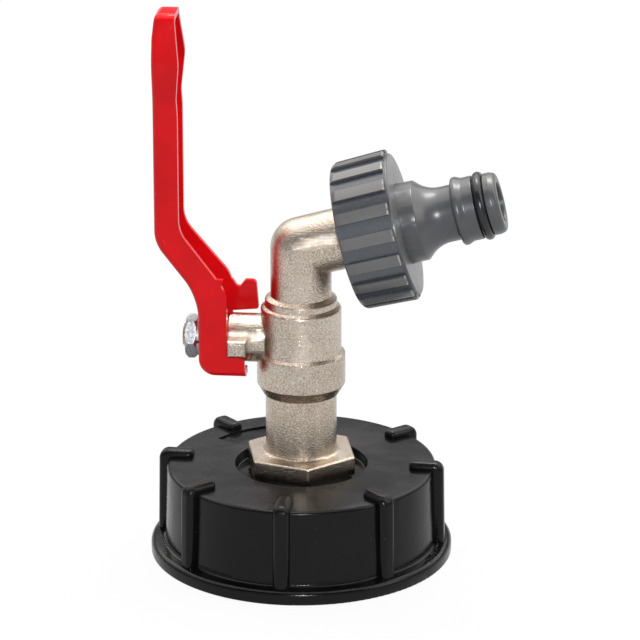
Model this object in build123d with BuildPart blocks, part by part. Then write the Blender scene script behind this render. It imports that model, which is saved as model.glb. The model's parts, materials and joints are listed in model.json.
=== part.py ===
from build123d import *
from math import cos, radians, sin, sqrt
import os

os.makedirs("parts", exist_ok=True)

# Ball tap with a hose spigot, mounted on a coarse-thread cap for a container outlet.
# Millimetres. +Z runs up the inlet pipe, the spout leans out to +X, the lever stands at -X.
# The origin is the middle of the cap's open mouth.

# gaps: turning parts, faces that press on each other, threads that are screwed together
run_gap = 0.05
face_gap = 0.02
thread_gap = 0.05

# cap: bore at the root of its 60 mm thread, skirt with draft, lip at the mouth
tank_thread_d = 60.4
tank_thread_len = 10.8
gasket_land_step = 0.8
skirt_wall = 3.6
skirt_draft = 0.6
skirt_foot_round = 0.8
lip_proud = 3.6
lip_h = 3.4
lip_slope = 0.2
lip_round = 1.3
cap_h = 23.0
cap_edge_round = 0.9
plate_t = 3.5
recess_room = 1.93
recess_depth = 2.7
recess_floor_t = 3.3
recess_wall_t = 2.3
hub_wall = 4.1
hub_len = 6.0
inside_round = 0.8
small_round = 0.4

# cap ribs, shaped like an inverted L
rib_count = 8
rib_w = 4.2
rib_proud = 2.3
rib_lean = 0.4
rib_land = 6.4
rib_rise = 1.9
rib_round = 1.5
rib_shoulder_round = 2.4
rib_end_round = 1.0
rib_sink = 1.0
rib_turn = -93.0

# shallow marking pocket in the cap's top
pocket_inset = 3.9
pocket_w = 6.3
pocket_depth = 0.45
pocket_start = 93.0
pocket_end = 148.0

# seals
cap_gasket_t = 2.4
cap_gasket_w = 4.2
cap_gasket_room = 0.9
inlet_seal_t = 1.25
inlet_seal_w = 2.0
seal_room = 0.2
body_gasket_t = 0.7
spout_washer_t = 1.6

# ball and seats
waterway_d = 9.5
ball_wall = 2.45
ball_room = 0.4
seat_land = 1.2
seat_depth = 3.6
seat_bore_room = 0.1
slot_w = 3.0
slot_depth = 1.8

# stem
stem_d = 7.1
stem_flange_proud = 0.8
stem_flange_t = 1.2
thrust_washer_t = 0.6
tongue_w = 5.4
tongue_gap = 0.15
ring_section = 1.0
ring_groove_w = 1.3
ring_inset = 3.1
ring_pitch = 3.0

# inlet piece: G1/2 thread, hexagon, pipe, and the thread that joins it to the tap body
inlet_thread_d = 20.9
inlet_thread_chamfer = 0.7
inlet_setback = 0.5
hex_af = 25.4
hex_h = 5.0
hex_turn = -18.0
hex_corner_round = 0.8
hex_bevel = 0.35
pipe_len = 15.6
pipe_root_round = 1.0
joint_wall = 1.6
joint_thread_rise = 0.3
joint_lead_in = 0.4
nose_h = 1.0
inlet_bore_d = 14.0

# tap body: band round the joint, barrel, bead, neck, elbow and threaded spout
band_wall = 1.85
band_len = 11.1
band_chamfer = 2.7
band_foot_w = 0.3
band_top_chamfer = 0.8
body_wall = 2.45
chamber_roof = 1.87
body_shoulder_h = 0.7
body_shoulder_round = 0.9
bead_proud = 1.4
bead_h = 1.7
bead_round = 0.6
edge_round = 0.3
neck_wall = 2.85
neck_drop = 0.8
elbow_rise = 13.1
spout_rise = 15.0
spout_len = 20.7
spout_bore_d = 11.0
spout_wall = 2.2
spout_thread_d = 26.2
spout_thread_len = 7.8
spout_thread_chamfer = 0.8

# bonnet with its two stop lugs
stem_above_band = 2.7
bonnet_wall = 2.55
bonnet_len = 8.81
bonnet_round = 0.7
lug_w = 4.6
lug_h = 4.2
lug_reach = 10.2
lug_setback = 0.8
lug_round = 0.9

# lever: a stamped channel, open towards the tap
sheet_t = 1.5
bonnet_to_lever = 5.2
lever_jog = 10.9
lever_low_bend = 12.3
lever_high_bend = 25.6
lever_top = 83.8
tip_lean = 0.7
tip_lean_len = 6.0
tip_bend_r = 12.0
tip_corner = 2.6
edge_low_bend = 13.9
edge_high_bend = 28.9
edge_bend_r = 8.5
edge_swell = 0.6
edge_waist = 0.25
edge_tip_in = 0.5
base_depth = 7.25
grip_depth = 6.2
base_half_w = 7.9
grip_half_w = 6.2
grip_swell = 1.9
grip_curve_r = 12.0
swell_r = 9.0
swell_down = 12.0
waist_down = 22.0
tip_half_w = 4.8
base_drop = 8.05
base_round = 4.2
lever_edge_round = 1.7
low_bend_r = 16.0
high_bend_r = 9.0
stop_gap = 0.35
tab_gap = 2.45
tab_slant = 0.4
tab_flat = 2.0
tab_fall = 1.1
ear_gap = 1.15
ear_low = 4.6
ear_slope = 0.7
ear_high = 12.8
ear_notch = 2.2
ear_notch_w = 3.4
ear_round = 0.6
spur_height = 17.3
spur_depth = 0.9

# stem end: two flats, M6 thread, washer and nut
stem_thread_d = 5.7
stem_thread_chamfer = 0.5
flats_w = 4.4
lever_washer_d = 9.6
lever_washer_t = 0.7
lever_washer_room = 0.2
washer_split = 0.8
nut_af = 9.7
nut_t = 2.9
nut_turn = -3.0
thread_stick_out = 0.8

# hose connector: union nut and spigot
union_wall_t = 5.35
union_flare = 0.5
union_end_t = 2.0
union_len = 13.8
union_back_round = 1.8
union_step = 0.8
union_step_inset = 1.2
ridge_count = 18
ridge_depth = 0.95
ridge_share = 0.45
ridge_turn = 4.0
washer_room = 0.2
spigot_flange_t = 1.5
shoulder_d = 20.2
shoulder_len = 4.8
shoulder_round = 0.8
shoulder_draft = 0.1
hollow_len = 5.5
waist_wall = 2.1
waist_len = 2.9
collar_proud = 0.6
collar_len = 2.6
collar_round = 1.0
spigot_wall = 3.1
spigot_ring_step = 6.7
spigot_ring_section = 2.5
spigot_ring_proud = 0.6
groove_side = 0.1
nose_drop = 0.2
nose_len = 1.5
nose_taper = 0.5
nose_taper_len = 1.65
nose_round = 1.0
spigot_bore_d = 9.7

# radii from the waterway outwards
port_r = waterway_d / 2
ball_r = port_r + ball_wall
chamber_r = ball_r + ball_room
joint_thread_r = chamber_r + joint_wall
pipe_r = joint_thread_r - joint_thread_rise
band_r = joint_thread_r + band_wall
body_r = chamber_r + body_wall
neck_r = port_r + neck_wall
bead_r = neck_r + bead_proud
spout_r = spout_bore_d / 2 + spout_wall
bonnet_r = stem_d / 2 + bonnet_wall
stem_flange_r = stem_d / 2 + stem_flange_proud

# radii of the cap
hex_corner_r = hex_af / sqrt(3)
inlet_thread_r = inlet_thread_d / 2
hub_bore_r = inlet_thread_r + thread_gap
recess_r = hex_corner_r + recess_room
recess_wall_r = recess_r + recess_wall_t
tank_thread_r = tank_thread_d / 2
gasket_land_r = tank_thread_r - gasket_land_step
skirt_top_r = tank_thread_r + skirt_wall
skirt_foot_r = skirt_top_r + skirt_draft
lip_r = skirt_foot_r + lip_proud
rib_out_r = skirt_top_r + rib_proud
rib_in_r = skirt_top_r - rib_land
rib_root_r = (tank_thread_r + skirt_top_r) / 2

# heights along the inlet pipe
recess_floor = cap_h - recess_depth
recess_under = recess_floor - recess_floor_t
plate_under = cap_h - plate_t
hub_end = recess_under - hub_len
hex_bottom = recess_floor + inlet_seal_t + 2 * face_gap
hex_top = hex_bottom + hex_h
band_bottom = hex_top + pipe_len
band_top = band_bottom + band_len
stem_z = band_top + stem_above_band
seat_back = sqrt(ball_r**2 - port_r**2) + seat_land
seat_front = seat_back - seat_depth
nose_top = stem_z - seat_back - face_gap
joint_top = nose_top - nose_h
joint_shoulder = joint_top + body_gasket_t + 2 * face_gap
chamber_top = stem_z + seat_back + face_gap
body_top = chamber_top + chamber_roof
bead_bottom = body_top + body_shoulder_h
bead_top = bead_bottom + bead_h
neck_bottom = bead_top + neck_drop
spout_z = bead_top + elbow_rise

# distances from the pipe's axis towards the lever
stem_inner = chamber_r + run_gap
stem_flange_out = stem_inner + stem_flange_t
thrust_out = stem_flange_out + face_gap + thrust_washer_t
pocket_out = thrust_out + face_gap
bonnet_reach = pocket_out + bonnet_len
web_in = bonnet_reach + bonnet_to_lever
web_out = web_in + sheet_t
washer_out = web_out + face_gap + lever_washer_t
nut_out = washer_out + face_gap + nut_t
stem_end = nut_out + thread_stick_out

# stations along the spout's axis, from where it crosses the pipe's axis
washer_front = spout_len + face_gap + spout_washer_t
spigot_back = washer_front + face_gap
spigot_flange_front = spigot_back + spigot_flange_t
union_wall_back = spigot_flange_front + run_gap
union_front = union_wall_back + union_end_t
union_face = union_front + union_step
union_back = union_front - union_len
shoulder_front = union_face + shoulder_len
waist_at = shoulder_front + hollow_len
collar_at = waist_at + waist_len
collar_end = collar_at + collar_len
ring_at = collar_at + spigot_ring_step
groove_back = ring_at - spigot_ring_section / 2 - groove_side
groove_front = ring_at + spigot_ring_section / 2 + groove_side
spigot_end = groove_front + nose_len + nose_taper_len

# radii along the spout and the hose connector
spout_thread_r = spout_thread_d / 2
union_back_r = spout_thread_r + union_wall_t
union_front_r = union_back_r + union_flare
shoulder_r = shoulder_d / 2
spigot_bore_r = spigot_bore_d / 2
waist_r = spigot_bore_r + waist_wall
barrel_r = spigot_bore_r + spigot_wall
collar_r = barrel_r + collar_proud
nose_r = barrel_r - nose_drop
spigot_ring_r = barrel_r + spigot_ring_proud
spigot_groove_r = spigot_ring_r - spigot_ring_section - face_gap

# work planes: stem profile (x towards the lever, y up), spout profile (x along the spout)
stem_side = Plane(origin=(0, 0, stem_z), x_dir=(-1, 0, 0), z_dir=(0, 1, 0))
stem_axis = Axis((0, 0, stem_z), (-1, 0, 0))
spout_dir = Vector(cos(radians(spout_rise)), 0, sin(radians(spout_rise)))
spout_side = Plane(origin=(0, 0, spout_z), x_dir=spout_dir, z_dir=(0, -1, 0))
spout_axis = Axis((0, 0, spout_z), spout_dir)


def across_stem(distance):
    # plane square to the stem, at a distance from the pipe's axis towards the lever
    return Plane(origin=(-distance, 0, stem_z), x_dir=(0, 1, 0), z_dir=(-1, 0, 0))


def across_spout(station):
    # plane square to the spout, at a station along it
    return Plane(origin=spout_axis.position + spout_dir * station, x_dir=(0, 1, 0), z_dir=spout_dir)


def flat_ring(place, inner_r, outer_r, thickness):
    with BuildPart() as ring:
        with BuildSketch(place):
            Circle(outer_r)
            Circle(inner_r, mode=Mode.SUBTRACT)
        extrude(amount=thickness)
    return ring.part


def round_ring(side, axis, station, outer_r, section):
    # ring of round section, standing at a station of the profile plane
    with BuildPart() as ring:
        with BuildSketch(side):
            with Locations((station, outer_r - section / 2)):
                Circle(section / 2)
        revolve(axis=axis)
    return ring.part


# cap rib: one inverted L with a rounded crest, standing at the +X side
with BuildPart() as cap_rib:
    rib_foot = lip_h - rib_sink
    rib_under = cap_h - rib_sink
    rib_top = cap_h + rib_rise
    with BuildSketch(Plane.XZ):
        with BuildLine():
            FilletPolyline(
                (rib_root_r, rib_foot),
                (rib_out_r + rib_lean, rib_foot),
                (rib_out_r, rib_top),
                (rib_in_r, rib_top),
                (rib_in_r, rib_under),
                (rib_root_r, rib_under),
                radius=[0, 0, rib_shoulder_round, rib_end_round, 0, 0],
                close=True,
            )
        make_face()
    extrude(amount=rib_w / 2, both=True)
    crest = cap_rib.edges().filter_by(
        lambda e: abs(abs(e.center().Y) - rib_w / 2) < 1e-3
        and (e.center().X > skirt_top_r or e.center().Z > cap_h)
        and e.center().Z > lip_h - rib_sink / 2
    )
    fillet(crest, radius=rib_round)

with BuildPart() as tank_cap:
    with BuildSketch(Plane.XZ):
        with BuildLine():
            FilletPolyline(
                (hub_bore_r, hub_end),
                (hub_bore_r, recess_floor),
                (recess_r, recess_floor),
                (recess_r, cap_h),
                (skirt_top_r, cap_h),
                (skirt_foot_r, lip_h + lip_slope),
                (lip_r, lip_h),
                (lip_r, 0),
                (tank_thread_r, 0),
                (tank_thread_r, tank_thread_len),
                (gasket_land_r, tank_thread_len),
                (gasket_land_r, plate_under),
                (recess_wall_r, plate_under),
                (recess_wall_r, recess_under),
                (hub_bore_r + hub_wall, recess_under),
                (hub_bore_r + hub_wall, hub_end),
                radius=(
                    [0, 0, small_round, small_round]
                    + [cap_edge_round, skirt_foot_round, lip_round, small_round]
                    + [0, 0, edge_round, inside_round]
                    + [inside_round, inside_round, inside_round, small_round]
                ),
                close=True,
            )
        make_face()
    revolve(axis=Axis.Z)
    with PolarLocations(0, rib_count, start_angle=rib_turn):
        add(cap_rib.part)
    with BuildSketch(Plane.XY.offset(cap_h - pocket_depth)):
        with BuildLine():
            pocket_span = pocket_end - pocket_start
            inner_arc = CenterArc((0, 0), recess_r + pocket_inset, pocket_start, pocket_span)
            outer_arc = CenterArc((0, 0), recess_r + pocket_inset + pocket_w, pocket_start, pocket_span)
            Line(outer_arc @ 0, inner_arc @ 0)
            Line(outer_arc @ 1, inner_arc @ 1)
        make_face()
    extrude(amount=2 * pocket_depth, mode=Mode.SUBTRACT)
tank_cap.part.label = "tank_cap"
export_step(tank_cap.part, "parts/tank_cap.step")

cap_gasket = flat_ring(
    Plane.XY.offset(plate_under - face_gap - cap_gasket_t),
    gasket_land_r - cap_gasket_room - cap_gasket_w,
    gasket_land_r - cap_gasket_room,
    cap_gasket_t,
)
cap_gasket.label = "cap_gasket"
export_step(cap_gasket, "parts/cap_gasket.step")

inlet_seal = flat_ring(
    Plane.XY.offset(recess_floor + face_gap),
    inlet_thread_r + seal_room,
    inlet_thread_r + seal_room + inlet_seal_w,
    inlet_seal_t,
)
inlet_seal.label = "inlet_seal"
export_step(inlet_seal, "parts/inlet_seal.step")

# inlet piece: hexagon with softened corners, then the turned rest
with BuildPart() as inlet_piece:
    thread_foot = hub_end + inlet_setback
    hex_inside_r = hex_af / 2 - 2 * hex_bevel
    with BuildSketch(Plane.XY.offset(hex_bottom)) as hexagon:
        RegularPolygon(hex_corner_r, 6, rotation=hex_turn)
        fillet(hexagon.vertices(), radius=hex_corner_round)
    extrude(amount=hex_h)
    chamfer(inlet_piece.faces().filter_by(Axis.Z).edges(), length=hex_bevel)
    with BuildSketch(Plane.XZ):
        with BuildLine():
            FilletPolyline(
                (0, thread_foot),
                (inlet_thread_r - inlet_thread_chamfer, thread_foot),
                (inlet_thread_r, thread_foot + inlet_thread_chamfer),
                (inlet_thread_r, hex_bottom + hex_h / 2),
                (hex_inside_r, hex_bottom + hex_h / 2),
                (hex_inside_r, hex_top),
                (pipe_r, hex_top),
                (pipe_r, band_bottom + joint_lead_in),
                (joint_thread_r, band_bottom + 2 * joint_lead_in),
                (joint_thread_r, joint_top),
                (chamber_r - run_gap, joint_top),
                (chamber_r - run_gap, nose_top),
                (0, nose_top),
                radius=[0, 0, 0, 0, 0, 0, pipe_root_round, 0, 0, 0, 0, 0, 0],
                close=True,
            )
        make_face()
    revolve(axis=Axis.Z)
    with BuildSketch(Plane.XZ):
        with BuildLine():
            Polyline(
                (0, thread_foot - 1),
                (inlet_bore_d / 2, thread_foot - 1),
                (inlet_bore_d / 2, hex_top),
                (port_r, hex_top + inlet_bore_d / 2 - port_r),
                (port_r, nose_top + 1),
                (0, nose_top + 1),
                close=True,
            )
        make_face()
    revolve(axis=Axis.Z, mode=Mode.SUBTRACT)
inlet_piece.part.label = "inlet_piece"
export_step(inlet_piece.part, "parts/inlet_piece.step")

body_gasket = flat_ring(
    Plane.XY.offset(joint_top + face_gap),
    chamber_r,
    joint_thread_r,
    body_gasket_t,
)
body_gasket.label = "body_gasket"
export_step(body_gasket, "parts/body_gasket.step")

# bonnet with a bar across its end, whose two ends are the stop lugs
with BuildPart() as bonnet:
    lug_out = bonnet_reach - lug_setback
    with BuildSketch(across_stem(lug_out - lug_w)):
        Rectangle(2 * lug_reach, lug_h)
    extrude(amount=lug_w)
    fillet(bonnet.faces().filter_by(Axis.Y).edges(), radius=lug_round)
    with BuildSketch(across_stem(chamber_r + 1)):
        Circle(bonnet_r)
    extrude(amount=bonnet_reach - chamber_r - 1)
    fillet(bonnet.edges().filter_by(GeomType.CIRCLE).sort_by(Axis.X)[0], radius=bonnet_round)

# tap body: turned barrel, elbow, threaded spout and bonnet, then its waterway and chambers
with BuildPart() as tap_body:
    thread_start = spout_len - spout_thread_len
    with BuildSketch(Plane.XZ):
        with BuildLine():
            FilletPolyline(
                (0, band_bottom),
                (joint_thread_r + band_foot_w, band_bottom),
                (band_r, band_bottom + band_chamfer),
                (band_r, band_top - band_top_chamfer),
                (body_r, band_top),
                (body_r, body_top),
                (bead_r, bead_bottom),
                (bead_r, bead_top),
                (neck_r, neck_bottom),
                (neck_r, spout_z),
                (0, spout_z),
                radius=(
                    [0, 0, small_round, small_round, edge_round]
                    + [body_shoulder_round, edge_round, bead_round, edge_round, 0, 0]
                ),
                close=True,
            )
        make_face()
    revolve(axis=Axis.Z)
    with Locations((0, 0, spout_z)):
        Sphere(neck_r)
    with BuildSketch(spout_side):
        with BuildLine():
            Polyline(
                (0, 0),
                (0, neck_r),
                (neck_r, spout_r),
                (thread_start, spout_r),
                (thread_start, spout_thread_r - spout_thread_chamfer),
                (thread_start + spout_thread_chamfer, spout_thread_r),
                (spout_len - spout_thread_chamfer, spout_thread_r),
                (spout_len, spout_thread_r - spout_thread_chamfer),
                (spout_len, 0),
                close=True,
            )
        make_face()
    revolve(axis=spout_axis)
    add(bonnet.part)
    with BuildSketch(Plane.XZ):
        with BuildLine():
            Polyline(
                (0, band_bottom - 1),
                (joint_thread_r + thread_gap, band_bottom - 1),
                (joint_thread_r + thread_gap, joint_shoulder),
                (chamber_r, joint_shoulder),
                (chamber_r, chamber_top),
                (port_r, chamber_top),
                (port_r, spout_z),
                (0, spout_z),
                close=True,
            )
        make_face()
    revolve(axis=Axis.Z, mode=Mode.SUBTRACT)
    with Locations((0, 0, spout_z)):
        Sphere(port_r, mode=Mode.SUBTRACT)
    with BuildSketch(spout_side):
        with BuildLine():
            Polyline(
                (0, 0),
                (0, port_r),
                (neck_r, spout_bore_d / 2),
                (spout_len + 1, spout_bore_d / 2),
                (spout_len + 1, 0),
                close=True,
            )
        make_face()
    revolve(axis=spout_axis, mode=Mode.SUBTRACT)
    with BuildSketch(stem_side):
        with BuildLine():
            Polyline(
                (0, 0),
                (0, stem_flange_r + run_gap),
                (pocket_out, stem_flange_r + run_gap),
                (pocket_out, stem_d / 2 + run_gap),
                (bonnet_reach + 1, stem_d / 2 + run_gap),
                (bonnet_reach + 1, 0),
                close=True,
            )
        make_face()
    revolve(axis=stem_axis, mode=Mode.SUBTRACT)
tap_body.part.label = "tap_body"
export_step(tap_body.part, "parts/tap_body.step")

# ball: through port, and a slot for the stem's tongue on the lever side
with BuildPart() as ball:
    with Locations((0, 0, stem_z)):
        Sphere(ball_r)
        Cylinder(port_r, 2 * ball_r, mode=Mode.SUBTRACT)
    with BuildSketch(across_stem(ball_r - slot_depth)):
        Rectangle(2 * ball_r, slot_w)
    extrude(amount=slot_depth + 1, mode=Mode.SUBTRACT)
ball.part.label = "ball"
export_step(ball.part, "parts/ball.step")

# two equal seats, each with a hollow that follows the ball
for seat_name, seat_start in (
    ("lower_seat", stem_z - seat_back),
    ("upper_seat", stem_z + seat_front),
):
    with BuildPart() as seat:
        with BuildSketch(Plane.XY.offset(seat_start)):
            Circle(chamber_r - run_gap)
            Circle(port_r + seat_bore_room, mode=Mode.SUBTRACT)
        extrude(amount=seat_depth)
        with Locations((0, 0, stem_z)):
            Sphere(ball_r + run_gap, mode=Mode.SUBTRACT)
    seat.part.label = seat_name
    export_step(seat.part, f"parts/{seat_name}.step")

# stem: tongue, flange, two ring grooves, shoulder against the lever, flats and thread
with BuildPart() as stem:
    groove_r = stem_d / 2 + run_gap - ring_section - 2 * face_gap
    ring_stations = [bonnet_reach - ring_inset - ring_pitch, bonnet_reach - ring_inset]
    with BuildSketch(stem_side):
        with BuildLine():
            Polyline(
                (stem_inner, 0),
                (stem_inner, stem_flange_r),
                (stem_flange_out, stem_flange_r),
                (stem_flange_out, stem_d / 2),
                (web_in - face_gap, stem_d / 2),
                (web_in - face_gap, stem_thread_d / 2),
                (stem_end - stem_thread_chamfer, stem_thread_d / 2),
                (stem_end, stem_thread_d / 2 - stem_thread_chamfer),
                (stem_end, 0),
                close=True,
            )
        make_face()
        with Locations(*[(station, groove_r + 1) for station in ring_stations]):
            Rectangle(ring_groove_w, 2, mode=Mode.SUBTRACT)
    revolve(axis=stem_axis)
    with BuildSketch(across_stem(web_in - face_gap)):
        with GridLocations(0, flats_w + stem_d, 1, 2):
            Rectangle(stem_d, stem_d)
    extrude(amount=sheet_t + 2 * face_gap, mode=Mode.SUBTRACT)
    with BuildSketch(across_stem(ball_r - slot_depth + tongue_gap)):
        Rectangle(tongue_w, slot_w - 2 * run_gap)
    extrude(amount=stem_inner - ball_r + slot_depth)
stem.part.label = "stem"
export_step(stem.part, "parts/stem.step")

thrust_washer = flat_ring(
    across_stem(stem_flange_out + face_gap),
    stem_d / 2 + run_gap,
    stem_flange_r,
    thrust_washer_t,
)
thrust_washer.label = "thrust_washer"
export_step(thrust_washer, "parts/thrust_washer.step")

for ring_name, ring_station in zip(("stem_ring_inner", "stem_ring_outer"), ring_stations):
    stem_ring = round_ring(
        stem_side,
        stem_axis,
        ring_station,
        groove_r + ring_section + face_gap,
        ring_section,
    )
    stem_ring.label = ring_name
    export_step(stem_ring, f"parts/{ring_name}.step")

# lever side view: the web's line jogs outwards, and the channel's open edge follows it
low_z = stem_z + lever_low_bend
high_z = stem_z + lever_high_bend
tip_z = stem_z + lever_top
foot_z = stem_z - base_drop
jog_x = -web_out - lever_jog
edge_x = -web_out + base_depth
grip_edge_x = jog_x + grip_depth
inner_lift = sheet_t * (sqrt(lever_jog**2 + (high_z - low_z) ** 2) - (high_z - low_z)) / lever_jog
stop_height = lug_h / 2 + stop_gap
tab_x = -band_r - tab_gap
ear_x = -body_r - ear_gap

# lever front view: taper, waist, swell and blunt tip, open below the foot
front_plane = Plane.YZ.offset(jog_x - 1)
with BuildSketch(front_plane) as lever_front:
    with BuildLine():
        right_side = [
            (base_half_w, foot_z - base_round),
            (base_half_w, low_z),
            (grip_half_w, high_z),
            (grip_half_w, tip_z - waist_down),
            (grip_half_w + grip_swell, tip_z - swell_down),
            (tip_half_w, tip_z),
        ]
        left_side = [(-y, z) for y, z in reversed(right_side)]
        side_radii = [0, grip_curve_r, grip_curve_r, grip_curve_r, swell_r, tip_corner]
        FilletPolyline(
            *right_side,
            *left_side,
            radius=side_radii + side_radii[::-1],
            close=True,
        )
    make_face()

# the channel's hollow: the front view less the sheet, on the tap's side of the web
with BuildPart() as lever_hollow:
    with BuildSketch(front_plane):
        add(lever_front.sketch_local)
        offset(amount=-sheet_t, mode=Mode.REPLACE)
    extrude(amount=1 - jog_x)
    with BuildSketch(Plane.XZ.offset(base_half_w)):
        with BuildLine():
            FilletPolyline(
                (0, foot_z + sheet_t),
                (-web_in, foot_z + sheet_t),
                (-web_in, low_z + inner_lift),
                (jog_x + sheet_t, high_z + inner_lift),
                (jog_x + sheet_t, tip_z - tip_lean_len),
                (jog_x + sheet_t + tip_lean, tip_z + 1),
                (0, tip_z + 1),
                radius=(
                    [0, base_round - sheet_t, low_bend_r + sheet_t]
                    + [high_bend_r - sheet_t, tip_bend_r - sheet_t, 0, 0]
                ),
                close=True,
            )
        make_face()
    extrude(amount=-2 * base_half_w, mode=Mode.INTERSECT)

with BuildPart() as lever:
    with BuildSketch(Plane.XZ):
        with BuildLine():
            FilletPolyline(
                (edge_x, foot_z),
                (-web_out, foot_z),
                (-web_out, low_z),
                (jog_x, high_z),
                (jog_x, tip_z - tip_lean_len),
                (jog_x + tip_lean, tip_z + 1),
                (grip_edge_x - edge_tip_in, tip_z + 1),
                (grip_edge_x - edge_tip_in, tip_z - 2),
                (grip_edge_x + edge_swell, tip_z - swell_down),
                (grip_edge_x - edge_waist, tip_z - waist_down + 1),
                (grip_edge_x, tip_z - waist_down - 3),
                (grip_edge_x, stem_z + edge_high_bend),
                (edge_x, stem_z + edge_low_bend),
                radius=(
                    [0, base_round, low_bend_r, high_bend_r, tip_bend_r, 0, 0]
                    + [edge_bend_r, grip_curve_r, edge_bend_r, edge_bend_r, edge_bend_r, edge_bend_r]
                ),
                close=True,
            )
        make_face()
    extrude(amount=base_half_w + 1, both=True)
    # stop tab under the near lug, curling in below the bonnet
    with BuildSketch(Plane.XZ.offset(stop_height)):
        with BuildLine():
            FilletPolyline(
                (edge_x - 1, stem_z - stop_height),
                (edge_x + tab_flat, stem_z - stop_height),
                (tab_x, stem_z - stop_height - tab_fall),
                (tab_x + tab_slant, foot_z),
                (edge_x - 1, foot_z),
                radius=[0, 0, ear_round, 0, 0],
                close=True,
            )
        make_face()
    extrude(amount=base_half_w)
    # notched ear above the far lug
    with BuildSketch(Plane.XZ):
        with BuildLine():
            FilletPolyline(
                (edge_x - 1, stem_z + ear_low),
                (ear_x, stem_z + ear_low + ear_slope),
                (ear_x - ear_round, stem_z + ear_high),
                (ear_x - ear_notch_w, stem_z + ear_high),
                (ear_x - 1.5 * ear_notch_w, stem_z + ear_high - ear_notch),
                (edge_x, stem_z + ear_high),
                (edge_x - 1, stem_z + ear_high),
                radius=[0, ear_round, 2 * ear_round, ear_round, ear_round, 0, 0],
                close=True,
            )
        make_face()
    extrude(amount=-base_half_w)
    # spur left by the die on the near edge
    with BuildSketch(Plane.XZ.offset(grip_half_w)):
        with BuildLine():
            Polyline(
                (edge_x - 3, stem_z + spur_height),
                (edge_x - spur_depth, stem_z + spur_height),
                (edge_x - 1.6 * spur_depth, stem_z + spur_height - 2),
                (edge_x - 3, stem_z + spur_height - 3),
                close=True,
            )
        make_face()
    extrude(amount=base_half_w)
    extrude(lever_front.sketch, amount=1 - jog_x, mode=Mode.INTERSECT)
    outer_faces = lever.faces().filter_by(
        lambda f: (f.normal_at().X < -0.5 and f.center().X < edge_x - 2) or f.center().Z < foot_z + 0.1
    )
    web_rim = outer_faces.edges().filter_by(
        lambda e: (abs(e.tangent_at(0.5).Y) < 0.99 and abs(e.center().Y) > tip_half_w / 2 + 1)
        or e.center().Z > tip_z - 1
    )
    fillet(web_rim, radius=lever_edge_round)
    add(lever_hollow.part, mode=Mode.SUBTRACT)
    with BuildSketch(across_stem(web_in - 1)):
        Circle(stem_thread_d / 2 + run_gap)
        Rectangle(stem_d, flats_w + 2 * run_gap, mode=Mode.INTERSECT)
    extrude(amount=sheet_t + 2, mode=Mode.SUBTRACT)
lever.part.label = "lever"
export_step(lever.part, "parts/lever.step")

with BuildPart() as lever_washer:
    with BuildSketch(across_stem(web_out + face_gap)):
        Circle(lever_washer_d / 2)
        Circle(stem_thread_d / 2 + lever_washer_room, mode=Mode.SUBTRACT)
        with Locations((-lever_washer_d / 2, 0)):
            Rectangle(lever_washer_d, washer_split, mode=Mode.SUBTRACT)
    extrude(amount=lever_washer_t)
lever_washer.part.label = "lever_washer"
export_step(lever_washer.part, "parts/lever_washer.step")

with BuildPart() as lever_nut:
    nut_corner_r = nut_af / sqrt(3)
    nut_back = washer_out + face_gap
    nut_chamfer = nut_corner_r - nut_af / 2
    with BuildSketch(across_stem(nut_back)):
        RegularPolygon(nut_corner_r, 6, rotation=nut_turn)
    extrude(amount=nut_t)
    with BuildSketch(stem_side):
        with BuildLine():
            Polyline(
                (nut_back, 0),
                (nut_back, nut_af / 2),
                (nut_back + nut_chamfer, nut_corner_r),
                (nut_out - nut_chamfer, nut_corner_r),
                (nut_out, nut_af / 2),
                (nut_out, 0),
                close=True,
            )
        make_face()
    revolve(axis=stem_axis, mode=Mode.INTERSECT)
    with BuildSketch(across_stem(nut_back)):
        Circle(stem_thread_d / 2 + thread_gap)
    extrude(amount=nut_t, mode=Mode.SUBTRACT)
lever_nut.part.label = "lever_nut"
export_step(lever_nut.part, "parts/lever_nut.step")

spout_washer = flat_ring(
    across_spout(spout_len + face_gap),
    spout_bore_d / 2,
    spout_thread_r - washer_room,
    spout_washer_t,
)
spout_washer.label = "spout_washer"
export_step(spout_washer, "parts/spout_washer.step")

# one groove between two ridges of the union nut, as a turned sector with the nut's draft
with BuildPart() as union_groove:
    with BuildSketch(spout_side):
        with BuildLine():
            Polyline(
                (union_back - 1, union_back_r - ridge_depth),
                (union_front + 1, union_front_r - ridge_depth),
                (union_front + 1, union_front_r + 1),
                (union_back - 1, union_back_r + 1),
                close=True,
            )
        make_face()
    revolve(axis=spout_axis, revolution_arc=360 / ridge_count * (1 - ridge_share))

with BuildPart() as union_nut:
    with BuildSketch(spout_side):
        with BuildLine():
            FilletPolyline(
                (union_back, spout_thread_r + run_gap),
                (union_wall_back, spout_thread_r + run_gap),
                (union_wall_back, shoulder_r + run_gap),
                (union_face, shoulder_r + run_gap),
                (union_face, union_front_r - union_step_inset),
                (union_front, union_front_r - union_step_inset),
                (union_front, union_front_r),
                (union_back, union_back_r),
                radius=[0, 0, 0, 0, edge_round, 0, small_round, union_back_round],
                close=True,
            )
        make_face()
    revolve(axis=spout_axis)
    for ridge in range(ridge_count):
        groove = union_groove.part.rotate(spout_axis, ridge_turn + 360 / ridge_count * ridge)
        add(groove, mode=Mode.SUBTRACT)
union_nut.part.label = "union_nut"
export_step(union_nut.part, "parts/union_nut.step")

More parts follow.
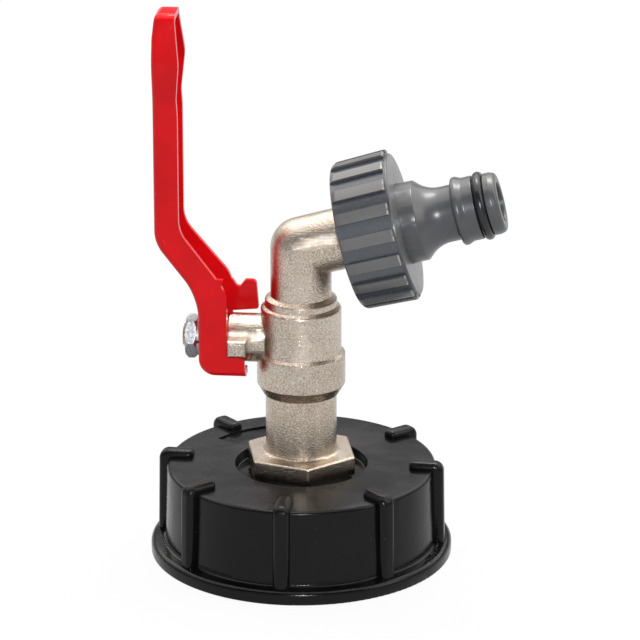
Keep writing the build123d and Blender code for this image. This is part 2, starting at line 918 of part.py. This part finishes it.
# spigot: flange inside the union nut, shoulder, waist, collar, ring groove and nose
with BuildPart() as spigot:
    with BuildSketch(spout_side):
        with BuildLine():
            lip_point = (shoulder_front, shoulder_r - shoulder_round)
            TangentArc((waist_at, waist_r), lip_point, tangent=(-1, 0))
            FilletPolyline(
                lip_point,
                (shoulder_front - shoulder_round, shoulder_r - shoulder_draft),
                (spigot_flange_front, shoulder_r),
                (spigot_flange_front, spout_thread_r - washer_room),
                (spigot_back, spout_thread_r - washer_room),
                (spigot_back, spigot_bore_r),
                (spigot_end, spigot_bore_r),
                (spigot_end, nose_r - nose_taper),
                (groove_front + nose_len, nose_r),
                (groove_front, nose_r),
                (groove_front, spigot_groove_r),
                (groove_back, spigot_groove_r),
                (groove_back, barrel_r),
                (collar_end, barrel_r),
                (collar_at + collar_len / 2, collar_r),
                (collar_at, collar_r),
                (collar_at, waist_r),
                (waist_at, waist_r),
                radius=(
                    [small_round, 0, 0, 0, 0, small_round, nose_round, inside_round]
                    + [edge_round, 0, 0, edge_round, collar_round, collar_round, inside_round, small_round]
                ),
            )
        make_face()
    revolve(axis=spout_axis)
spigot.part.label = "spigot"
export_step(spigot.part, "parts/spigot.step")

spigot_ring = round_ring(
    spout_side,
    spout_axis,
    ring_at,
    spigot_ring_r,
    spigot_ring_section,
)
spigot_ring.label = "spigot_ring"
export_step(spigot_ring, "parts/spigot_ring.step")
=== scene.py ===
import json
import math

import bmesh
import bpy
from mathutils import Matrix, Vector


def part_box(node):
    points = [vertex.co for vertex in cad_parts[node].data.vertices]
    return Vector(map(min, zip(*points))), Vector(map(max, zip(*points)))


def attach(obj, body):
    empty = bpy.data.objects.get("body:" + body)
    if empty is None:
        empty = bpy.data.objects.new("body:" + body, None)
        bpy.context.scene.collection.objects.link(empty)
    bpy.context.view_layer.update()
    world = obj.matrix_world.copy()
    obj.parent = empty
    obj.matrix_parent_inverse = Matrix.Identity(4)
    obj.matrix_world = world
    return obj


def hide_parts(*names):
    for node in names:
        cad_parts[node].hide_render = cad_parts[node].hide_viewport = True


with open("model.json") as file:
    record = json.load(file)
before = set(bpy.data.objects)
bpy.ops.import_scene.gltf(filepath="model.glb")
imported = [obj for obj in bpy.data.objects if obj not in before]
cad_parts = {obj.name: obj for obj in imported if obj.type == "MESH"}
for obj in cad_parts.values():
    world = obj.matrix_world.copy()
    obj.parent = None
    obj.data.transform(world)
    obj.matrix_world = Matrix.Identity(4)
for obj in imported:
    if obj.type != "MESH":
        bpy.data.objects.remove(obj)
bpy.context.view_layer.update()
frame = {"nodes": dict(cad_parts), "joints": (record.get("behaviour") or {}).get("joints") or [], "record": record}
scene = bpy.context.scene
scene.view_settings.view_transform = "Standard"
mm = 0.001
print("frame loaded:", len(frame["nodes"]), "nodes")

# the photograph's view; angles in degrees, lengths in mm
photoView = {"turn": 5.0, "tilt": 19.597, "distance": 1000, "aim": (4.691, 0.410, 60.893), "lens": 226.12,
             "sensor": 36, "clip": (50, 20000)}


def outFrom(turn, tilt):
    # direction from the object, turned to the right of the front and tilted up, in degrees
    turn, tilt = math.radians(turn), math.radians(tilt)
    return Vector((math.sin(turn) * math.cos(tilt), -math.cos(turn) * math.cos(tilt), math.sin(tilt)))


def placeCamera(view):
    back = outFrom(view["turn"], view["tilt"])
    data = bpy.data.cameras.new("photoCamera")
    data.lens = view["lens"]
    data.sensor_width = view["sensor"]
    data.clip_start, data.clip_end = view["clip"][0] * mm, view["clip"][1] * mm
    cam = bpy.data.objects.new("photoCamera", data)
    cam.location = (Vector(view["aim"]) + back * view["distance"]) * mm
    cam.rotation_euler = (-back).to_track_quat("-Z", "Y").to_euler()
    scene.collection.objects.link(cam)
    scene.camera = cam


placeCamera(photoView)


class Nodes:
    # short calls that build one node tree

    def __init__(self, tree):
        self.tree = tree

    def add(self, kind, inputs=None, **settings):
        node = self.tree.nodes.new(kind)
        for name, value in settings.items():
            setattr(node, name, value)
        for key, value in (inputs or {}).items():
            self.put(value, node.inputs[key])
        return node

    def put(self, value, socket):
        # a socket is linked, anything else is the input's own value
        if hasattr(value, "links"):
            self.tree.links.new(value, socket)
        else:
            socket.default_value = value

    def math(self, operation, a, b=0.0, c=0.0):
        return self.add("ShaderNodeMath", {0: a, 1: b, 2: c}, operation=operation).outputs[0]

    def vector(self, operation, inputs):
        return self.add("ShaderNodeVectorMath", inputs, operation=operation).outputs

    def mixColor(self, factor, a, b):
        a, b = (value if hasattr(value, "links") else (*value, 1.0) for value in (a, b))
        return self.add("ShaderNodeMix", {0: factor, 6: a, 7: b}, data_type="RGBA").outputs[2]

    def fade(self, value, low, high, outLow=0.0, outHigh=1.0):
        inputs = {"Value": value, "From Min": low, "From Max": high, "To Min": outLow, "To Max": outHigh}
        return self.add("ShaderNodeMapRange", inputs, interpolation_type="SMOOTHSTEP").outputs[0]


def newMaterial(name):
    material = bpy.data.materials.new(name)
    material.use_nodes = True
    material.node_tree.nodes.clear()
    return material, Nodes(material.node_tree)


def newGroup(name, kind, inputs, outputs):
    tree = bpy.data.node_groups.new(name, kind)
    for label, socketType, value in inputs:
        socket = tree.interface.new_socket(label, in_out="INPUT", socket_type=socketType)
        if value is not None:
            socket.default_value = value
    for label, socketType in outputs:
        tree.interface.new_socket(label, in_out="OUTPUT", socket_type=socketType)
    build = Nodes(tree)
    return build, build.add("NodeGroupInput").outputs, build.add("NodeGroupOutput").inputs


# the floor is white to the camera and nearly so in reflections, and a plain grey for the light it gives back
floorLook = {"grey": (0.25, 0.255, 0.27), "cameraShare": 0.86, "glossyShare": 0.66, "white": 1.09,
             "size": 8.0, "below": 0.0002}


def makeFloor(look):
    mesh = bpy.data.meshes.new("floor")
    half = look["size"] / 2
    corners = [(-half, -half, 0), (half, -half, 0), (half, half, 0), (-half, half, 0)]
    mesh.from_pydata(corners, [], [(0, 1, 2, 3)])
    mesh.transform(Matrix.Translation((0, 0, -look["below"])))
    floor = bpy.data.objects.new("floor", mesh)
    scene.collection.objects.link(floor)
    material, n = newMaterial("paleFloor")
    path = n.add("ShaderNodeLightPath").outputs
    mirrored = n.math("MAXIMUM", path["Is Glossy Ray"], path["Is Transmission Ray"])
    share = n.math("MULTIPLY", mirrored, look["glossyShare"])
    share = n.math("MAXIMUM", share, n.math("MULTIPLY", path["Is Camera Ray"], look["cameraShare"]))
    grey = n.add("ShaderNodeBsdfDiffuse", {"Color": (*look["grey"], 1)})
    white = n.add("ShaderNodeEmission", {"Strength": look["white"]})
    mix = n.add("ShaderNodeMixShader", {0: share, 1: grey.outputs[0], 2: white.outputs[0]})
    n.add("ShaderNodeOutputMaterial", {"Surface": mix.outputs[0]})
    mesh.materials.append(material)


makeFloor(floorLook)

# the room is an arch of light over the object, by the angle from the front over the top to the back
roomLook = {
    "arch": [
        (0, (0.52, 0.54, 0.57)), (20, (0.50, 0.53, 0.57)), (32, (0.62, 0.66, 0.72)),
        (41, (0.07, 0.07, 0.08)), (66, (0.07, 0.07, 0.07)), (76, (2.1, 2.07, 2.03)),
        (150, (2.25, 2.2, 2.14)), (157, (0.26, 0.25, 0.27)), (166, (0.20, 0.20, 0.22)),
        (174, (0.8, 0.8, 0.8)), (180, (0.9, 0.9, 0.9))],
    "sides": (0.45, 0.435, 0.42), "sideFrom": 0.60, "sideTo": 0.95}


def makeRoom(look):
    world = bpy.data.worlds.new("studio")
    scene.world = world
    world.use_nodes = True
    world.node_tree.nodes.clear()
    n = Nodes(world.node_tree)
    axes = n.add("ShaderNodeSeparateXYZ", {0: n.add("ShaderNodeTexCoord").outputs["Generated"]}).outputs
    over = n.math("ARCTAN2", axes["Z"], n.math("MULTIPLY", axes["Y"], -1.0))
    ramp = n.add("ShaderNodeValToRGB", {0: n.math("DIVIDE", over, math.pi)})
    while len(ramp.color_ramp.elements) < len(look["arch"]):
        ramp.color_ramp.elements.new(0.5)
    for element, (angle, light) in zip(ramp.color_ramp.elements, look["arch"]):
        element.position = angle / 180
        element.color = (*light, 1)
    aside = n.fade(n.math("ABSOLUTE", axes["X"]), look["sideFrom"], look["sideTo"])
    color = n.mixColor(aside, ramp.outputs[0], look["sides"])
    sky = n.add("ShaderNodeBackground", {"Color": color, "Strength": 1.0})
    n.add("ShaderNodeOutputWorld", {"Surface": sky.outputs[0]})


makeRoom(roomLook)

# lamps: where they stand round the object in degrees, how far off and how wide in metres
lamps = [
    {"name": "flash", "turn": 7, "tilt": 25, "far": 1.2, "size": (0.07, 0.07), "watts": 6.4,
     "color": (0.98, 0.99, 1)},
    {"name": "backBox", "turn": 172, "tilt": 66, "far": 1.1, "size": (0.5, 0.3), "watts": 7,
     "color": (1, 0.975, 0.94)},
    {"name": "rightBox", "turn": 78, "tilt": 32, "far": 1.1, "size": (0.5, 0.5), "watts": 1.6,
     "color": (1, 0.96, 0.91)},
]
lampsAim = Vector((0, 0, 0.06))  # the point that every lamp faces


def makeLamp(lamp):
    data = bpy.data.lights.new(lamp["name"], "AREA")
    data.shape = "RECTANGLE"
    data.size, data.size_y = lamp["size"]
    data.energy = lamp["watts"]
    data.color = lamp["color"]
    light = bpy.data.objects.new(lamp["name"], data)
    out = outFrom(lamp["turn"], lamp["tilt"])
    light.location = lampsAim + out * lamp["far"]
    light.rotation_euler = out.to_track_quat("Z", "Y").to_euler()
    scene.collection.objects.link(light)


for lamp in lamps:
    makeLamp(lamp)
print("camera, floor and light placed")


# noise scales are counts per metre, and each pair is where a mask starts and where it is full
grainLook = {"grainsShare": 0.9, "grainsHeight": 0.6, "swell": 260.0, "cloud": 90.0,
             "speckleFade": (0.42, 0.66), "cloudFade": (0.3, 0.7), "pitFade": (0.44, 0.30)}


def makeBlastGrain(look):
    # fine blasted or cast grain under plating
    n, given, made = newGroup(
        "blastGrain", "ShaderNodeTree",
        [("Place", "NodeSocketVector", None), ("Grain Size", "NodeSocketFloat", 0.4),
         ("Waviness", "NodeSocketFloat", 0.3)],
        [("Height", "NodeSocketFloat"), ("Speckle", "NodeSocketFloat"), ("Cloud", "NodeSocketFloat"),
         ("Pit", "NodeSocketFloat")],
    )
    place = given["Place"]
    scale = n.math("DIVIDE", 1 / mm, given["Grain Size"])
    grainsScale = n.math("MULTIPLY", scale, look["grainsShare"])
    fine = n.add("ShaderNodeTexNoise", {"Vector": place, "Scale": scale, "Detail": 3.0, "Roughness": 0.7})
    grains = n.add("ShaderNodeTexVoronoi", {"Vector": place, "Scale": grainsScale})
    swell = n.add("ShaderNodeTexNoise", {"Vector": place, "Scale": look["swell"], "Detail": 2.0})
    cloud = n.add("ShaderNodeTexNoise", {"Vector": place, "Scale": look["cloud"], "Detail": 3.0})
    cells = n.math("MULTIPLY", grains.outputs["Distance"], look["grainsHeight"])
    height = n.math("ADD", fine.outputs[0], cells)
    height = n.math("ADD", height, n.math("MULTIPLY", swell.outputs[0], given["Waviness"]))
    n.put(height, made["Height"])
    n.put(n.fade(fine.outputs[0], *look["speckleFade"]), made["Speckle"])
    n.put(n.fade(cloud.outputs[0], *look["cloudFade"]), made["Cloud"])
    n.put(n.fade(fine.outputs[0], *look["pitFade"]), made["Pit"])
    return n.tree


skinLook = {"skin": 1500.0, "sink": 110.0, "sinkHeight": 4.0, "cloud": 60.0, "cloudFade": (0.3, 0.7),
            "specks": 420.0, "speckFade": (0.10, 0.04), "patches": 45.0, "patchFade": (0.5, 0.62)}


def makeMouldSkin(look):
    # faint texture, sink marks and dust of a moulded or enamelled surface
    n, given, made = newGroup(
        "mouldSkin", "ShaderNodeTree",
        [("Place", "NodeSocketVector", None), ("Dust", "NodeSocketFloat", 0.1)],
        [("Height", "NodeSocketFloat"), ("Dust", "NodeSocketFloat"), ("Cloud", "NodeSocketFloat")],
    )
    place = given["Place"]
    skin = n.add("ShaderNodeTexNoise", {"Vector": place, "Scale": look["skin"], "Detail": 2.0})
    sink = n.add("ShaderNodeTexNoise", {"Vector": place, "Scale": look["sink"], "Detail": 1.0})
    cloud = n.add("ShaderNodeTexNoise", {"Vector": place, "Scale": look["cloud"], "Detail": 4.0,
                                         "Roughness": 0.6})
    specks = n.add("ShaderNodeTexVoronoi", {"Vector": place, "Scale": look["specks"]})
    patches = n.add("ShaderNodeTexNoise", {"Vector": place, "Scale": look["patches"], "Detail": 2.0})
    near = n.fade(specks.outputs["Distance"], *look["speckFade"])
    dust = n.math("MULTIPLY", near, n.fade(patches.outputs[0], *look["patchFade"]))
    height = n.math("ADD", skin.outputs[0], n.math("MULTIPLY", sink.outputs[0], look["sinkHeight"]))
    n.put(height, made["Height"])
    n.put(n.math("MULTIPLY", dust, given["Dust"]), made["Dust"])
    n.put(n.fade(cloud.outputs[0], *look["cloudFade"]), made["Cloud"])
    return n.tree


blastGrain = makeBlastGrain(grainLook)
mouldSkin = makeMouldSkin(skinLook)


def useGroup(n, tree, inputs):
    return n.add("ShaderNodeGroup", inputs, node_tree=tree).outputs


def finishMaterial(n, inputs, height, strength, distance):
    bump = n.add("ShaderNodeBump", {"Height": height, "Strength": strength, "Distance": distance})
    shader = n.add("ShaderNodeBsdfPrincipled", {**inputs, "Normal": bump.outputs[0]})
    n.add("ShaderNodeOutputMaterial", {"Surface": shader.outputs[0]})


def blastedMetal(name, look):
    material, n = newMaterial(name)
    place = n.add("ShaderNodeTexCoord").outputs["Object"]
    sizes = {"Place": place, "Grain Size": look["grain"], "Waviness": look["waviness"]}
    grain = useGroup(n, blastGrain, sizes)
    color = n.mixColor(grain["Cloud"], look["dark"], look["light"])
    color = n.mixColor(n.math("MULTIPLY", grain["Speckle"], look["speckle"]), color, look["spark"])
    color = n.mixColor(n.math("MULTIPLY", grain["Pit"], look["pits"]), color, look["pit"])
    low, high = look["roughness"]
    rough = n.fade(grain["Speckle"], 0.0, 1.0, high, low)
    inputs = {"Base Color": color, "Metallic": 1.0, "Roughness": rough}
    finishMaterial(n, inputs, grain["Height"], look["bump"], look["depth"] * mm)
    return material


dustRoughness = 0.4  # how much rougher full dust is


def finishMoulded(n, look, place, skin, color):
    color = n.mixColor(skin["Dust"], color, look["dustColor"])
    rough = n.math("ADD", n.fade(skin["Cloud"], 0.0, 1.0, *look["roughness"]),
                   n.math("MULTIPLY", skin["Dust"], dustRoughness))
    if "satin" in look:
        # duller above a height, over a short way, all in mm but for the roughness it adds
        satin = look["satin"]
        height = n.add("ShaderNodeSeparateXYZ", {0: place}).outputs["Z"]
        share = n.fade(height, (satin["above"] - satin["blend"]) * mm, (satin["above"] + satin["blend"]) * mm)
        rough = n.math("ADD", rough, n.math("MULTIPLY", share, satin["more"]))
    inputs = {"Base Color": color, "Roughness": rough, "Specular IOR Level": look["specular"]}
    finishMaterial(n, inputs, skin["Height"], look["bump"], look["depth"] * mm)


def glossy(name, look):
    # enamel, rubber or moulded plastic
    material, n = newMaterial(name)
    place = n.add("ShaderNodeTexCoord").outputs["Object"]
    skin = useGroup(n, mouldSkin, {"Place": place, "Dust": look["dust"]})
    finishMoulded(n, look, place, skin, n.mixColor(skin["Cloud"], look["dark"], look["light"]))
    return material


def spoutLine():
    # the axis of the joint that the union nut turns on, from where it crosses the pipe's axis at x = 0
    joint = next(joint for joint in frame["joints"] if joint["name"] == "union_spin")
    axis, at = Vector(joint["axis"]), Vector(joint["pos_m"])
    return {"axis": axis, "start": at - axis * (at.x / axis.x)}


spout = spoutLine()


def makeSpoutPlace():
    # how far a point is along the spout and out from its axis, in mm
    n, given, made = newGroup(
        "spoutPlace", "ShaderNodeTree", [("Place", "NodeSocketVector", None)],
        [("Along", "NodeSocketFloat"), ("Out", "NodeSocketFloat")],
    )
    start = n.vector("SUBTRACT", {0: given["Place"], 1: spout["start"]})["Vector"]
    along = n.vector("DOT_PRODUCT", {0: start, 1: spout["axis"]})["Value"]
    nearest = n.vector("SCALE", {0: spout["axis"], "Scale": along})["Vector"]
    out = n.vector("DISTANCE", {0: start, 1: nearest})["Value"]
    n.put(n.math("DIVIDE", along, mm), made["Along"])
    n.put(n.math("DIVIDE", out, mm), made["Out"])
    return n.tree


spoutPlace = makeSpoutPlace()


def ridgedPlastic(name, look):
    # grey moulded plastic with painted shade in its grooves, painted glints there, and a painted highlight along
    # its crests' front end
    material, n = newMaterial(name)
    place = n.add("ShaderNodeTexCoord").outputs["Object"]
    skin = useGroup(n, mouldSkin, {"Place": place, "Dust": look["dust"]})
    reach = useGroup(n, spoutPlace, {"Place": place})
    crestRadius = n.math("MULTIPLY_ADD", reach["Along"], look["crestSlope"], look["crestStart"])
    below = n.math("SUBTRACT", crestRadius, reach["Out"])
    crest = n.fade(below, look["grooveDepth"], look["crestDepth"])
    crest = n.math("MAXIMUM", crest, n.fade(below, look["faceDepth"] - look["faceBlend"], look["faceDepth"]))
    color = n.mixColor(skin["Cloud"], look["dark"], look["light"])
    # painted shade: below the crests the grooves take a darker, bluer colour
    color = n.mixColor(crest, look["groove"], color)
    # painted glints: bright bluish specks painted into the grooves only
    paintedGlints = n.add("ShaderNodeTexVoronoi", {"Vector": place, "Scale": look["paintedGlintScale"]})
    paintedGlint = n.fade(paintedGlints.outputs["Distance"], *look["paintedGlintFade"])
    paintedGlint = n.math("MULTIPLY", paintedGlint, n.math("SUBTRACT", 1.0, crest))
    color = n.mixColor(n.math("MULTIPLY", paintedGlint, look["paintedGlints"]), color, look["paintedGlintColor"])
    # painted highlight: a light, warm line along the crests' front rim, broken up by noise
    highlightBreakup = n.add("ShaderNodeTexNoise", {"Vector": place, "Scale": look["highlightBreakupScale"], "Detail": 3.0})
    away = n.math("ABSOLUTE", n.math("SUBTRACT", reach["Along"], look["rimAt"]))
    rim = n.fade(away, look["rimWide"], 0.0)
    rim = n.math("MULTIPLY", rim, n.fade(below, *look["rimDeep"]))
    paintedRimHighlight = n.math("MULTIPLY", rim, n.fade(highlightBreakup.outputs[0], *look["highlightBreakupFade"]))
    color = n.mixColor(n.math("MULTIPLY", paintedRimHighlight, look["paintedRimHighlight"]), color, look["paintedRimHighlightColor"])
    finishMoulded(n, look, place, skin, color)
    return material


# lengths in mm: a grain's size and the relief's depth here, and the satin's and the nut's places below
nickelCast = blastedMetal("nickelCast", {
    "grain": 0.36, "waviness": 0.3, "dark": (0.44, 0.355, 0.27), "light": (0.57, 0.48, 0.385),
    "spark": (0.92, 0.90, 0.87), "speckle": 0.45, "pit": (0.12, 0.10, 0.08), "pits": 0.5,
    "roughness": (0.12, 0.23), "bump": 1.0, "depth": 0.085})
nickelTurned = blastedMetal("nickelTurned", {
    "grain": 0.32, "waviness": 0.15, "dark": (0.43, 0.345, 0.255), "light": (0.55, 0.455, 0.355),
    "spark": (0.92, 0.89, 0.85), "speckle": 0.4, "pit": (0.12, 0.10, 0.08), "pits": 0.45,
    "roughness": (0.12, 0.23), "bump": 0.9, "depth": 0.065})
zincPlate = blastedMetal("zincPlate", {
    "grain": 0.6, "waviness": 1.0, "dark": (0.33, 0.34, 0.36), "light": (0.47, 0.475, 0.49),
    "spark": (0.78, 0.79, 0.82), "speckle": 0.4, "pit": (0.12, 0.13, 0.16), "pits": 0.5,
    "roughness": (0.38, 0.52), "bump": 0.35, "depth": 0.05})
turnedBrass = blastedMetal("turnedBrass", {
    "grain": 0.5, "waviness": 0.3, "dark": (0.36, 0.27, 0.09), "light": (0.52, 0.41, 0.17),
    "spark": (0.72, 0.62, 0.32), "speckle": 0.3, "pit": (0.12, 0.08, 0.03), "pits": 0.5,
    "roughness": (0.25, 0.42), "bump": 0.2, "depth": 0.03})
chromedBall = blastedMetal("chromedBall", {
    "grain": 0.3, "waviness": 0.1, "dark": (0.62, 0.62, 0.63), "light": (0.72, 0.72, 0.73),
    "spark": (0.8, 0.8, 0.8), "speckle": 0.2, "pit": (0.3, 0.3, 0.31), "pits": 0.1,
    "roughness": (0.05, 0.10), "bump": 0.05, "depth": 0.01})
redEnamel = glossy("redEnamel", {
    "dark": (0.60, 0.0045, 0.0075), "light": (0.72, 0.006, 0.010), "dust": 0.25,
    "dustColor": (0.75, 0.25, 0.22), "roughness": (0.10, 0.16), "specular": 0.16, "bump": 0.16,
    "depth": 0.06})
blackCap = glossy("blackCap", {
    "dark": (0.0026, 0.0025, 0.0029), "light": (0.0048, 0.0044, 0.0046), "dust": 0.35,
    "dustColor": (0.10, 0.085, 0.075), "roughness": (0.11, 0.19), "specular": 0.20, "bump": 0.45,
    "depth": 0.09, "satin": {"above": 22.7, "blend": 0.3, "more": 0.12}})
greyLook = {
    "dark": (0.058, 0.060, 0.065), "light": (0.080, 0.081, 0.084), "dust": 0.3,
    "dustColor": (0.34, 0.32, 0.27), "roughness": (0.25, 0.34), "specular": 0.65, "bump": 0.15, "depth": 0.04}
greySpigot = glossy("greySpigot", greyLook)
# the union nut's crests run from one radius at its back to another at its front, along the spout, in mm
nutShape = {"back": 12.09, "front": 25.89, "backRadius": 18.45, "frontRadius": 18.95}
crestSlope = (nutShape["frontRadius"] - nutShape["backRadius"]) / (nutShape["front"] - nutShape["back"])
# in the nut's look the groove colour is painted shade, the glint colour painted glints and the rim colour a
# painted highlight
greyNut = ridgedPlastic("greyNut", {
    **greyLook, "dark": (0.094, 0.092, 0.091), "light": (0.118, 0.115, 0.112), "specular": 0.95,
    "crestSlope": crestSlope, "crestStart": nutShape["backRadius"] - nutShape["back"] * crestSlope,
    "grooveDepth": 0.75, "crestDepth": 0.30, "faceDepth": 1.5, "faceBlend": 0.2,
    "groove": (0.042, 0.047, 0.058), "paintedGlints": 0.5, "paintedGlintColor": (0.30, 0.33, 0.38), "paintedGlintScale": 1900.0,
    "paintedGlintFade": (0.22, 0.08), "rimAt": nutShape["front"] - 0.2, "rimWide": 0.35, "rimDeep": (0.9, 0.1),
    "paintedRimHighlight": 0.5, "paintedRimHighlightColor": (0.62, 0.60, 0.56), "highlightBreakupScale": 900.0, "highlightBreakupFade": (0.40, 0.58)})
ringRubber = glossy("ringRubber", {
    "dark": (0.010, 0.010, 0.012), "light": (0.016, 0.015, 0.017), "dust": 0.2,
    "dustColor": (0.07, 0.065, 0.065), "roughness": (0.22, 0.32), "specular": 0.5, "bump": 0.1,
    "depth": 0.03})
sheetRubber = glossy("sheetRubber", {
    "dark": (0.016, 0.016, 0.017), "light": (0.026, 0.025, 0.025), "dust": 0.5,
    "dustColor": (0.09, 0.085, 0.08), "roughness": (0.5, 0.65), "specular": 0.35, "bump": 0.3, "depth": 0.05})
redFibre = glossy("redFibre", {
    "dark": (0.30, 0.10, 0.055), "light": (0.42, 0.15, 0.08), "dust": 0.4, "dustColor": (0.5, 0.3, 0.2),
    "roughness": (0.6, 0.75), "specular": 0.3, "bump": 0.3, "depth": 0.05})
whiteSeat = glossy("whiteSeat", {
    "dark": (0.74, 0.74, 0.71), "light": (0.80, 0.80, 0.78), "dust": 0.1, "dustColor": (0.6, 0.58, 0.55),
    "roughness": (0.4, 0.5), "specular": 0.4, "bump": 0.1, "depth": 0.03})
print("materials made")

finishes = {
    "tank_cap": blackCap, "cap_gasket": sheetRubber, "inlet_seal": sheetRubber, "inlet_piece": nickelTurned,
    "body_gasket": redFibre, "tap_body": nickelCast, "lower_seat": whiteSeat, "upper_seat": whiteSeat,
    "ball": chromedBall, "stem": turnedBrass, "thrust_washer": whiteSeat, "stem_ring_inner": ringRubber,
    "stem_ring_outer": ringRubber, "lever": redEnamel, "lever_washer": zincPlate, "lever_nut": zincPlate,
    "spout_washer": sheetRubber, "union_nut": greyNut, "spigot": greySpigot, "spigot_ring": ringRubber,
}
for nodeName, material in finishes.items():
    node = frame["nodes"][nodeName]
    node.data.materials.clear()
    node.data.materials.append(material)
print("finishes set on the CAD nodes")

# edges that a mould, a die or tumbling leaves soft, as their width in mm; every other node keeps its own mesh
softEdges = {"tank_cap": 0.50, "inlet_piece": 0.22, "tap_body": 0.25, "lever": 0.28, "lever_nut": 0.14,
             "union_nut": 0.20, "spigot": 0.18}
softening = {"weld": 0.001, "flatWithin": 0.8, "edgeOver": 32, "rounds": 2}  # mm, degrees and segments


def bodyOf(nodeName):
    return next(body for body, names in frame["record"]["behaviour"]["bodies"].items() if nodeName in names)


def softCopy(nodeName, width, how):
    mesh = frame["nodes"][nodeName].data.copy()
    build = bmesh.new()
    build.from_mesh(mesh)
    bmesh.ops.remove_doubles(build, verts=build.verts, dist=how["weld"] * mm)
    flat = math.radians(how["flatWithin"])
    bmesh.ops.dissolve_limit(build, angle_limit=flat, verts=build.verts, edges=build.edges)
    build.to_mesh(mesh)
    build.free()
    if "custom_normal" in mesh.attributes:
        mesh.attributes.remove(mesh.attributes["custom_normal"])
    mesh.shade_smooth()
    mesh.set_sharp_from_angle(angle=math.radians(how["edgeOver"]))
    piece = bpy.data.objects.new(nodeName + "_soft", mesh)
    scene.collection.objects.link(piece)
    bevel = piece.modifiers.new("soften", "BEVEL")
    bevel.width = width * mm
    bevel.segments = how["rounds"]
    bevel.limit_method = "ANGLE"
    bevel.angle_limit = math.radians(how["edgeOver"])
    bevel.harden_normals = True
    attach(piece, bodyOf(nodeName))
    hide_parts(nodeName)


for nodeName, width in softEdges.items():
    softCopy(nodeName, width, softening)
print("edges softened on", len(softEdges), "pieces")


def makeThreadTree():
    # a ridge wound round the Z axis; half of its square section is sunk into the wall that carries it
    g, given, made = newGroup(
        "threadRidge", "GeometryNodeTree",
        [("Radius", "NodeSocketFloat", 0.01), ("Pitch", "NodeSocketFloat", 0.001),
         ("Length", "NodeSocketFloat", 0.01), ("Depth", "NodeSocketFloat", 0.001),
         ("Steps", "NodeSocketInt", 48), ("Finish", "NodeSocketMaterial", None)],
        [("Geometry", "NodeSocketGeometry")],
    )
    turns = g.math("DIVIDE", given["Length"], given["Pitch"])
    helix = g.add("GeometryNodeCurveSpiral", {
        "Resolution": given["Steps"], "Rotations": turns, "Start Radius": given["Radius"],
        "End Radius": given["Radius"], "Height": given["Length"]})
    upright = g.add("GeometryNodeSetCurveNormal", {"Curve": helix.outputs[0]}, mode="Z_UP")
    square = {"Resolution": 4, "Radius": given["Depth"]}
    section = g.add("GeometryNodeCurvePrimitiveCircle", square, mode="RADIUS")
    ridge = g.add("GeometryNodeCurveToMesh", {
        "Curve": upright.outputs[0], "Profile Curve": section.outputs[0], "Fill Caps": True})
    real = g.add("GeometryNodeRealizeInstances", {0: ridge.outputs[0]})
    finished = g.add("GeometryNodeSetMaterial", {"Geometry": real.outputs[0], "Material": given["Finish"]})
    g.put(finished.outputs[0], made["Geometry"])
    return g.tree


def grow(name, tree, values, placing):
    # the tree's result as a plain mesh, placed by a matrix
    seed = bpy.data.objects.new(name + "Seed", bpy.data.meshes.new(name + "Seed"))
    scene.collection.objects.link(seed)
    modifier = seed.modifiers.new("grow", "NODES")
    modifier.node_group = tree
    for item in tree.interface.items_tree:
        if item.item_type == "SOCKET" and item.in_out == "INPUT":
            modifier[item.identifier] = values[item.name]
    bpy.context.view_layer.update()
    mesh = bpy.data.meshes.new_from_object(seed.evaluated_get(bpy.context.evaluated_depsgraph_get()))
    bpy.data.objects.remove(seed)
    mesh.transform(placing)
    piece = bpy.data.objects.new(name, mesh)
    scene.collection.objects.link(piece)
    return piece


stemLow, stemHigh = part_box("stem")
stemLine = Vector((0, 0, (stemLow[2] + stemHigh[2]) / 2))

# threads, with lengths in mm: each starts some way along its line and rides on the body that it turns with
threads = [
    {"name": "tank_thread", "body": "tap", "slot": "cap_plastic", "finish": blackCap, "radius": 30.3,
     "pitch": 6.0, "start": 2.0, "length": 7.2, "depth": 1.5, "steps": 120,
     "from": Vector((0, 0, 0)), "along": Vector((0, 0, 1))},
    {"name": "spout_thread", "body": "tap", "slot": "nickel_cast", "finish": nickelCast, "radius": 13.08,
     "pitch": 1.814, "start": 13.4, "length": 6.8, "depth": 0.42, "steps": 72,
     "from": spout["start"], "along": spout["axis"]},
    {"name": "stem_thread", "body": "handle", "slot": "stem_brass", "finish": turnedBrass, "radius": 2.83,
     "pitch": 0.8, "start": 27.0, "length": 2.2, "depth": 0.17, "steps": 40,
     "from": stemLine, "along": Vector((-1, 0, 0))},
]


def makeThread(tree, look):
    turn = look["along"].to_track_quat("Z", "Y").to_matrix().to_4x4()
    placing = Matrix.Translation(look["from"] + look["along"] * look["start"] * mm) @ turn
    values = {"Radius": look["radius"] * mm, "Pitch": look["pitch"] * mm, "Length": look["length"] * mm,
              "Depth": look["depth"] * mm, "Steps": look["steps"], "Finish": look["finish"]}
    piece = grow(look["name"], tree, values, placing)
    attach(piece, look["body"])


threadTree = makeThreadTree()
for look in threads:
    makeThread(threadTree, look)
print("threads wound:", len(threads))
